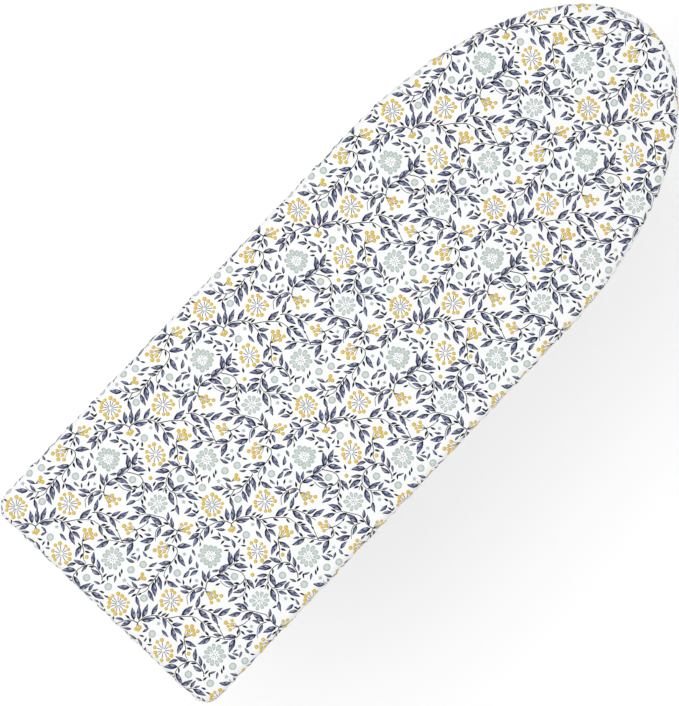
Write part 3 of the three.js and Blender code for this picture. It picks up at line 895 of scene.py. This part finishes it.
def weld(made: bpy.types.Object, gap: float = 0.006 * MM) -> None:
    """Joins the points of a mesh that lie together.

    Args:
        made: the mesh object.
        gap: how far apart two points may be to be joined.
    """
    work = bmesh.new()
    work.from_mesh(made.data)
    bmesh.ops.remove_doubles(work, verts=work.verts, dist=gap)
    work.to_mesh(made.data)
    work.free()


def points_of(made: bpy.types.Object) -> np.ndarray:
    """The points of a mesh.

    Args:
        made: the mesh object.

    Returns:
        One x, y and z for each point.
    """
    flat = np.empty(len(made.data.vertices) * 3)
    made.data.vertices.foreach_get("co", flat)
    return flat.reshape(-1, 3)


def move_points(made: bpy.types.Object, points: np.ndarray) -> None:
    """Moves every point of a mesh."""
    made.data.vertices.foreach_set("co", points.astype(np.float32).ravel())
    made.data.update()


def centre_of(node: str) -> Vector:
    """The middle of a part's box."""
    lo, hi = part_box(node)
    return (lo + hi) / 2


def loft(name: str, rings: list[np.ndarray], closed: bool = True) -> bpy.types.Object:
    """A skin over rings of equal numbers of points, joined end to end where it is closed.

    Args:
        name: the object's name.
        rings: the points of each ring, in order.
        closed: whether the last ring joins the first.

    Returns:
        The new object, in the scene.
    """
    count, size = len(rings), len(rings[0])
    faces = []
    for row in range(count if closed else count - 1):
        below, above = row * size, (row + 1) % count * size
        for i in range(size):
            ahead = (i + 1) % size
            faces.append((below + i, below + ahead, above + ahead, above + i))
    if not closed:
        faces += [range(size - 1, -1, -1), range((count - 1) * size, count * size)]
    return new_mesh(name, np.concatenate(rings), faces)


# ---- cover, pad and deck -------------------------------------------------------------------


@dataclass
class Cover:
    """The printed cotton cover: a flat sheet, rolled over the edge and gathered on elastic underneath.

    The sheet is laid out flat with its print on it, then each point is carried to its place
    on the board, so the print runs over the edge as it does on real cloth.
    """

    plan: BoardPlan
    top: float = 890 * MM
    roll: float = 13 * MM
    side: float = 13 * MM
    under_roll: float = 4 * MM
    hem: float = 46 * MM
    crown: float = 1.2 * MM
    grid_step: float = 10.0
    roll_steps: int = 8
    tuck_steps: int = 4
    fine_band: float = 45 * MM
    probe: float = 0.4 * MM
    seed: int = 5

    def profile(self) -> tuple[np.ndarray, np.ndarray, np.ndarray]:
        """The cloth's path from the start of the roll to its cut edge.

        Returns:
            The distances along it, and the inset and height at each.
        """
        path = [(self.roll, self.top)]
        for t in np.linspace(0, math.pi / 2, self.roll_steps + 1)[1:]:
            path.append((self.roll * (1 - math.sin(t)), self.top - self.roll * (1 - math.cos(t))))
        low = self.top - self.roll - self.side
        for t in np.linspace(0, math.pi / 2, self.tuck_steps + 1):
            path.append((self.under_roll * (1 - math.cos(t)), low - self.under_roll * math.sin(t)))
        end, floor = self.under_roll + self.hem, low - self.under_roll
        path += [(end, floor), (end + 2 * MM, floor - 1.3 * MM), (end + 2.6 * MM, floor - 3.4 * MM),
                 (end + 1.8 * MM, floor - 5.6 * MM), (end - 0.4 * MM, floor - 6.4 * MM),
                 (end - 5 * MM, floor - 6.2 * MM), (end - 8 * MM, floor - 5.2 * MM),
                 (end - 9 * MM, floor - 1.4 * MM)]
        inset, height = np.array(path).T
        steps = np.hypot(np.diff(inset), np.diff(height))
        return np.concatenate([[0.0], np.cumsum(steps)]), inset, height

    def gathers(self, travel: np.ndarray, rng: random.Random) -> np.ndarray:
        """How far each place round the rim is puckered, from 0 to about 1.

        Args:
            travel: how far round the rim each place is.
            rng: the source of random numbers.

        Returns:
            How deep the pucker is at each place.
        """
        total = np.zeros_like(travel)
        for wavelength in (19, 23, 28, 34, 47, 90):
            waves = round(self.plan.length / (wavelength * MM))
            total += rng.uniform(0.6, 1.0) * np.sin(math.tau * waves * travel / self.plan.length
                                                    + rng.uniform(0, math.tau))
        return np.clip(0.5 + 0.27 * total, 0.0, 1.3)

    def drape(self, flat: np.ndarray) -> np.ndarray:
        """Carries points of the flat sheet to their places on the board.

        Args:
            flat: one x and y for each point.

        Returns:
            One x, y and z for each point.
        """
        rng = random.Random(self.seed)
        spent, inset, height = self.profile()
        out, node, share = self.plan.locate(flat, self.roll, 10)
        near = ~self.plan.holds(flat, self.roll + self.fine_band)
        out[near], node[near], share[near] = self.plan.locate(flat[near], self.roll)
        over = np.clip(out, 0.0, spent[-1])
        e, z = np.interp(over, spent, inset), np.interp(over, spent, height)
        after, before = over + self.probe, over - self.probe
        slope_e = np.interp(after, spent, inset) - np.interp(before, spent, inset)
        slope_z = np.interp(after, spent, height) - np.interp(before, spent, height)
        size = np.maximum(np.hypot(slope_e, slope_z), 1e-9)
        travel = self.plan.travel[node] + share * self.plan.length / len(self.plan.base)
        pucker = self.gathers(travel, rng)
        rolled, tucked = spent[self.roll_steps], spent[self.roll_steps + self.tuck_steps + 1]
        hemmed = spent[self.roll_steps + self.tuck_steps + 2]
        drawn_up = np.interp(over, [0, 0.5 * rolled, rolled, tucked, hemmed, spent[-1]],
                             [0.0, 0.5 * MM, 1.5 * MM, 2.5 * MM, 3.2 * MM, 1.6 * MM])
        lift = pucker * drawn_up
        e, z = e + slope_z / size * lift, z - slope_e / size * lift
        behind, ahead = self.plan.ring(e, node), self.plan.ring(e, node + 1)
        at = (1 - share)[:, None] * behind + share[:, None] * ahead
        on_top = out <= 0
        at[on_top] = flat[on_top]
        depth = np.clip(-out / (120 * MM), 0.0, 1.0)
        swell = self.crown * depth * (2 - depth)
        for _ in range(7):
            heading, wave = rng.uniform(0, math.pi), rng.uniform(60, 260) * MM
            phase = (flat[:, 0] * math.cos(heading) + flat[:, 1] * math.sin(heading)) * math.tau / wave
            swell += 0.16 * MM * depth * np.sin(phase + rng.uniform(0, math.tau))
        ease = np.interp(-out, [0.0, 9 * MM, 34 * MM, 60 * MM], [0.0, 0.7 * MM, 0.3 * MM, 0.0])
        z = np.where(on_top, self.top + swell + ease * pucker, z)
        return np.column_stack([at, z])

    def cut_repeat(self, drawing: FloralRepeat) -> tuple[np.ndarray, np.ndarray, list[int]]:
        """Cuts one repeat of cloth into triangles along the edges of its print.

        Args:
            drawing: the print.

        Returns:
            Its points in metres, its triangles, and the place in Ink of each triangle's ink.
        """
        wide, tall = drawing.along, drawing.across
        columns, rows = round(wide / self.grid_step), round(tall / self.grid_step)
        xs, ys = np.linspace(0, wide, columns + 1), np.linspace(0, tall, rows + 1)
        border = [(x, 0.0) for x in xs[:-1]] + [(wide, y) for y in ys[:-1]]
        border += [(x, tall) for x in xs[:0:-1]] + [(0.0, y) for y in ys[:0:-1]]
        loops, inks = [border], [Ink.GROUND]
        for ink, outline in drawing.draw():
            points = anticlockwise(np.array(outline))
            for shift in ((i * wide, j * tall) for i in (-1, 0, 1) for j in (-1, 0, 1)):
                moved = points + shift
                if (moved.max(axis=0) > 0).all() and (moved.min(axis=0) < (wide, tall)).all():
                    loops.append(moved)
                    inks.append(ink)
        inner = np.stack(np.meshgrid(xs[1:-1], ys[1:-1]), axis=-1).reshape(-1, 2)
        starts = np.concatenate([[0], np.cumsum([len(loop) for loop in loops])])
        found = delaunay_2d_cdt([Vector(p) for p in np.concatenate([*loops, inner])], [],
                                [list(range(a, b)) for a, b in zip(starts, starts[1:])], 0, 1e-4, True)
        order = list(Ink)
        kept = [(face, order.index(inks[max(ids)])) for face, ids in zip(found[2], found[5]) if 0 in ids]
        cut = np.array([tuple(p) for p in found[0]]) * MM
        return cut, np.array([face for face, _ in kept]), [place for _, place in kept]

    def lay_out(self, drawing: FloralRepeat, reach: float) -> bpy.types.Object:
        """Lays repeats side by side over the flat sheet, and cuts them finer where the cloth will bend.

        Args:
            drawing: the print.
            reach: how far the sheet runs past the start of the roll.

        Returns:
            The flat sheet.
        """
        points, faces, inks = self.cut_repeat(drawing)
        outline = self.plan.ring(self.roll - reach)
        size = np.array([drawing.along, drawing.across]) * MM
        first, last = np.floor(outline.min(axis=0) / size), np.ceil(outline.max(axis=0) / size)
        all_points, all_faces, all_inks, count = [], [], [], 0
        for column in range(int(first[0]), int(last[0])):
            for row in range(int(first[1]), int(last[1])):
                moved = points + size * (column, row)
                kept = self.plan.holds(moved, self.roll - reach)[faces].any(axis=1)
                all_points.append(moved)
                all_faces.append(faces[kept] + count)
                all_inks.append(np.array(inks)[kept])
                count += len(points)
        flat = np.concatenate(all_points)
        laid = np.column_stack([flat, np.zeros(len(flat))])
        made = new_mesh("cover_cloth", laid, np.concatenate(all_faces))
        made.data.polygons.foreach_set("material_index", np.concatenate(all_inks))
        work = bmesh.new()
        work.from_mesh(made.data)
        bmesh.ops.delete(work, geom=[v for v in work.verts if not v.link_faces], context="VERTS")
        bmesh.ops.remove_doubles(work, verts=work.verts, dist=0.006 * MM)
        for limit in (8 * MM, 5.5 * MM):
            spots = np.array([v.co[:2] for v in work.verts])
            bends = ~self.plan.holds(spots, self.roll + 26 * MM)
            work.verts.index_update()
            long = [e for e in work.edges if e.calc_length() > limit
                    and bends[e.verts[0].index] and bends[e.verts[1].index]]
            bmesh.ops.subdivide_edges(work, edges=long, cuts=1)
            bmesh.ops.triangulate(work, faces=[f for f in work.faces if len(f.verts) > 3])
        work.to_mesh(made.data)
        work.free()
        return made

    def build(self) -> bpy.types.Object:
        """Draws the print, lays out the sheet and drapes it over the board.

        Returns:
            The finished piece.
        """
        reach = float(self.profile()[0][-1])
        outline = self.plan.ring(self.roll - reach)
        made = self.lay_out(FloralRepeat(), reach)
        flat = points_of(made)
        threads = made.data.attributes.new("thread", "FLOAT_VECTOR", "POINT")
        threads.data.foreach_set("vector", flat.astype(np.float32).ravel())
        move_points(made, self.drape(flat[:, :2]))
        made.data.shade_smooth()
        for ink in Ink:
            made.data.materials.append(PrintedCotton(ink).material())
        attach(made, "top")
        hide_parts("cover")
        return made


@dataclass
class FeltPad:
    """The needled felt underlay, rounded over the edge of the deck."""

    plan: BoardPlan
    top: float = 888.6 * MM
    bottom: float = 882.75 * MM
    bend: float = 11.6 * MM
    edge: float = 13 * MM
    name: str = "felt_pad"

    def build(self) -> bpy.types.Object:
        """Builds the felt from rings, with its loose surface standing in small hills.

        Returns:
            The finished piece.
        """
        rng = random.Random(3)
        steep = math.acos((self.bottom - (self.top - self.bend)) / self.bend)
        rings = []
        for inset in (120 * MM, 60 * MM, 30 * MM):
            rings.append((inset, self.top))
        for t in np.linspace(0, steep, 7):
            rings.append((self.edge - self.bend * math.sin(t), self.top - self.bend * (1 - math.cos(t))))
        last = rings[-1][0]
        for inset in (last + 0.5 * MM, 30 * MM, 60 * MM, 120 * MM):
            rings.append((inset, self.bottom))
        built = []
        for inset, height in rings:
            xy = self.plan.ring(inset)
            z = [height + rng.uniform(-0.06, 0.02) * MM for _ in xy]
            built.append(np.column_stack([xy, z]))
        made = loft(self.name, built[::-1], closed=False)
        felt = Cloth("needled_felt", "#AFAA9E", "#D9D5CA", 0.9 * MM, 0.5 * MM)
        made.data.materials.append(felt.material())
        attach(made, "top")
        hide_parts("underlay_pad")
        return made


@dataclass
class HemBraid:
    """The braided elastic that runs in the hem's casing and holds the cover tight."""

    plan: BoardPlan
    inset: float = 47.6 * MM
    half_width: float = 2.7 * MM
    half_thick: float = 1.2 * MM
    name: str = "hem_braid"

    def build(self) -> bpy.types.Object:
        """Builds the braid with a rounded section and a rib every few millimetres.

        Returns:
            The finished piece.
        """
        lo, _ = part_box("hem_elastic")
        height = lo.z + 1.5 * MM
        rings = []
        for t in np.linspace(0, math.tau, 12, endpoint=False):
            wide = self.half_width * math.copysign(abs(math.cos(t)) ** 0.6, math.cos(t))
            thick = self.half_thick * math.sin(t)
            ribs = 0.12 * MM * np.cos(np.arange(len(self.plan.base)) * math.pi)
            xy = self.plan.ring(self.inset + wide)
            rings.append(np.column_stack([xy, height + (thick + ribs * math.sin(t))]))
        made = loft(self.name, rings[::-1])
        braid = Cloth("braided_elastic", "#DCDDDA", "#F4F4F1", 0.8 * MM, 0.4 * MM, ribs=2 * MM)
        made.data.materials.append(braid.material())
        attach(made, "top")
        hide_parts("hem_elastic")
        return made


@dataclass
class MeshDeck:
    """The expanded steel deck: staggered diamond openings between thin coated strands."""

    plan: BoardPlan
    long_way: float = 24 * MM
    short_way: float = 12 * MM
    end_strand: float = 2.2 * MM
    side_strand: float = 1.15 * MM
    edge: float = 5.2 * MM
    half_length: float = 624 * MM
    half_width: float = 228 * MM
    name: str = "expanded_deck"

    def build(self) -> bpy.types.Object:
        """Lays diamond after diamond, trims them to the board and gives the sheet its thickness.

        Returns:
            The finished piece.
        """
        lo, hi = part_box("mesh_deck")
        half, tall = self.long_way / 2, self.short_way / 2
        outer = np.array([(half, 0), (0, tall), (-half, 0), (0, -tall)])
        inner = outer * (1 - self.end_strand / half, 1 - self.side_strand / tall)
        cell = np.concatenate([outer, inner])
        ring = np.array([(i, (i + 1) % 4, (i + 1) % 4 + 4, i + 4) for i in range(4)])
        cells = []
        columns = np.arange(-self.half_length, self.half_length + MM, self.long_way)
        for row, y in enumerate(np.arange(-self.half_width, self.half_width + MM, tall)):
            for x in columns + (row % 2) * half:
                cells.append(cell + (x, y))
        kept = [c for c in cells if self.plan.holds(c[:4], self.edge).any()]
        flat = np.concatenate(kept)
        out, node, _ = self.plan.locate(flat, self.edge)
        flat[out > 0] = self.plan.ring(np.full((out > 0).sum(), self.edge), node[out > 0])
        faces = np.concatenate([ring + 8 * i for i in range(len(kept))])
        made = new_mesh(self.name, np.column_stack([flat, np.full(len(flat), hi.z)]), faces)
        weld(made, 0.05 * MM)
        made.data.shade_flat()
        plate = made.modifiers.new("thickness", "SOLIDIFY")
        plate.thickness = hi.z - lo.z
        plate.offset = -1.0
        made.data.materials.append(PowderCoat("powder_coated_mesh").material())
        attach(made, "top")
        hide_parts("mesh_deck")
        LOG.info("deck: %d diamonds", len(kept))
        return made


# ---- legs and hardware ---------------------------------------------------------------------


@dataclass(frozen=True)
class BraceWelds:
    """The weld beads where a leg pair's brace meets its two tubes, coated with the legs."""

    legs: str
    pivot: str
    tube_radius: float = 11 * MM
    brace_radius: float = 8 * MM
    bead: float = 1.3 * MM
    ripples: int = 17

    def build(self, finish: bpy.types.Material) -> bpy.types.Object:
        """Runs a rippled bead round each end of the brace, along the saddle where the tubes meet.

        Args:
            finish: the legs' coating.

        Returns:
            The finished piece.
        """
        middle, foot = centre_of(f"{self.legs}_brace"), centre_of(f"{self.legs}_foot_bar")
        pivot = centre_of(self.pivot)
        leg_y = centre_of(f"{self.legs}_leg_tube_left").y
        lean = math.atan2(pivot.z - foot.z, pivot.x - foot.x)
        turns = np.linspace(0, math.tau, 6 * self.ripples, endpoint=False)
        off = self.brace_radius * np.sin(turns - lean)
        saddle = leg_y - np.sqrt(self.tube_radius ** 2 - off ** 2)
        points, faces, sides = [], [], 8
        for side in (1, -1):
            start = len(points) * len(turns)
            for t in np.linspace(0, math.tau, sides, endpoint=False):
                thick = self.bead * (1 + 0.16 * np.cos(self.ripples * turns))
                reach = self.brace_radius + thick * math.cos(t)
                points.append(np.column_stack([middle.x + reach * np.cos(turns),
                                               side * (saddle + thick * math.sin(t)),
                                               middle.z + reach * np.sin(turns)]))
            for row in range(sides):
                a, b = start + row * len(turns), start + (row + 1) % sides * len(turns)
                for i in range(len(turns)):
                    j = (i + 1) % len(turns)
                    faces.append((a + i, a + j, b + j, b + i)[::-side])
        made = new_mesh(f"{self.legs}_brace_welds", np.concatenate(points), faces)
        made.data.materials.append(finish)
        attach(made, f"{self.legs}_leg")
        LOG.info("%s brace: 2 welds", self.legs)
        return made


@dataclass
class Hardware:
    """The steel, plastic and nylon parts, each with its finish and softly broken edges."""

    skipped: tuple[str, ...] = ("cover", "underlay_pad", "hem_elastic", "mesh_deck")
    bevel: float = 0.35 * MM
    crease: float = math.radians(32)
    finishes: dict[str, bpy.types.Material] = field(default_factory=dict)

    def __post_init__(self) -> None:
        """Makes each finish once."""
        self.finishes = {
            "powder_coat": PowderCoat().material(),
            "zinc_steel": ZincPlate().material(),
            "dark_plastic": Moulded("moulded_polypropylene", "#24262A", "#303338", 0.5).material(),
            "white_nylon": Moulded("natural_nylon", "#E4E2DA", "#F1EFE8", 0.38, scatter=0.15).material(),
        }

    def dress(self) -> None:
        """Gives every part its finish, smooth shading and broken edges."""
        for name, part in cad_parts.items():
            if name in self.skipped:
                continue
            for slot in part.material_slots:
                slot.material = self.finishes[slot.material.name.split(".")[0]]
            part.data.shade_smooth()
            stored = part.data.attributes.get("custom_normal")
            if stored:
                part.data.attributes.remove(stored)
            part.modifiers.new("joined_faces", "WELD").merge_threshold = 0.01 * MM
            edge = part.modifiers.new("broken_edge", "BEVEL")
            edge.width = self.bevel
            edge.segments = 2
            edge.limit_method = "ANGLE"
            edge.angle_limit = self.crease
            edge.harden_normals = True
        LOG.info("hardware: %d parts", len(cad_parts) - len(self.skipped))


# ---- studio --------------------------------------------------------------------------------


@dataclass
class Studio:
    """A white room seen from straight above, lit by large soft lamps."""

    plan: BoardPlan
    turn: float = math.radians(46.5)
    lens: float = 150.0
    sensor: float = 36.0
    aspect: float = 1.03976
    room: float = 1.003
    cloth_edge: float = 0.877
    floor_half: float = 60.0
    middle: Point3 = (0, 0, 0.6)

    def camera(self) -> None:
        """Hangs a long-lens camera above the board, with the board's nose to the upper right."""
        right = Vector((math.cos(self.turn), -math.sin(self.turn), 0))
        up = Vector((math.sin(self.turn), math.cos(self.turn), 0))
        rim = self.plan.ring(0.0)
        across, rise = rim @ np.array(right[:2]), rim @ np.array(up[:2])
        tall = max(np.ptp(rise), np.ptp(across) * self.aspect) * self.room
        centre = right * (across.max() + across.min()) / 2 + up * (rise.max() + rise.min()) / 2
        data = bpy.data.cameras.new("camera")
        data.lens, data.sensor_width = self.lens, self.sensor
        data.clip_end = 50.0
        made = bpy.data.objects.new("camera", data)
        made.rotation_euler = Matrix((right, up, Vector((0, 0, 1)))).transposed().to_euler()
        made.location = centre + Vector((0, 0, self.cloth_edge + tall * self.lens / self.sensor))
        bpy.context.scene.collection.objects.link(made)
        bpy.context.scene.camera = made

    def lamp(self, name: str, place: Point3, size: float, power: float) -> None:
        """Hangs a square lamp that faces the board and that the camera can't see.

        Args:
            name: the lamp's name.
            place: where it hangs.
            size: the length of its side.
            power: its power in watts.
        """
        data = bpy.data.lights.new(name, "AREA")
        data.shape, data.size, data.energy = "SQUARE", size, power
        made = bpy.data.objects.new(name, data)
        made.location = place
        look = Vector(self.middle) - Vector(place)
        made.rotation_euler = look.to_track_quat("-Z", "Y").to_euler()
        made.visible_camera = False
        bpy.context.scene.collection.objects.link(made)

    def floor(self) -> None:
        """Lays the floor."""
        corners = np.array([(-1, -1, 0), (1, -1, 0), (1, 1, 0), (-1, 1, 0)]) * self.floor_half
        made = new_mesh("floor", corners, [(0, 1, 2, 3)])
        material, tree = new_material("pale_floor")
        place = add_node(tree, "TexCoord", {}, {})
        drift = add_node(tree, "TexNoise", {}, {"Vector": place.outputs["Object"], "Scale": 0.8})
        colour = add_node(tree, "Mix", {"data_type": "RGBA"},
                          {0: drift.outputs["Fac"], MIX_LOW: linear("#F8F8F8"), MIX_HIGH: linear("#FBFBFB")})
        shader = add_node(tree, "BsdfPrincipled", {}, {
            "Base Color": colour.outputs[MIX_COLOUR],
            "Roughness": 0.9,
            "Specular IOR Level": 0.2,
            "Emission Color": linear("#FFFFFF"),
            "Emission Strength": 0.2,
        })
        add_node(tree, "OutputMaterial", {}, {"Surface": shader.outputs["BSDF"]})
        made.data.materials.append(material)

    def build(self) -> None:
        """Sets the camera, floor, lamps and the room's own light."""
        self.camera()
        self.floor()
        self.lamp("key", (-0.5, 0.9, 4.0), 2.2, 52.0)
        self.lamp("fill", (2.0, -1.8, 3.2), 3.0, 14.0)
        world = bpy.data.worlds.new("white_room")
        world.use_nodes = True
        world.node_tree.nodes["Background"].inputs["Color"].default_value = (1, 1, 1, 1)
        world.node_tree.nodes["Background"].inputs["Strength"].default_value = 0.62
        bpy.context.scene.world = world
        bpy.context.scene.view_settings.view_transform = "Standard"


def main() -> None:
    """Builds the studio and the board, piece by piece."""
    logging.basicConfig(level=logging.INFO, format="%(message)s")
    plan = BoardPlan()
    Studio(plan).build()
    FeltPad(plan).build()
    HemBraid(plan).build()
    MeshDeck(plan).build()
    Cover(plan).build()
    hardware = Hardware()
    hardware.dress()
    for legs, pivot in (("outer", "pivot_shaft"), ("inner", "slider_rod")):
        BraceWelds(legs, pivot).build(hardware.finishes["powder_coat"])


if __name__ == "__main__":
    main()
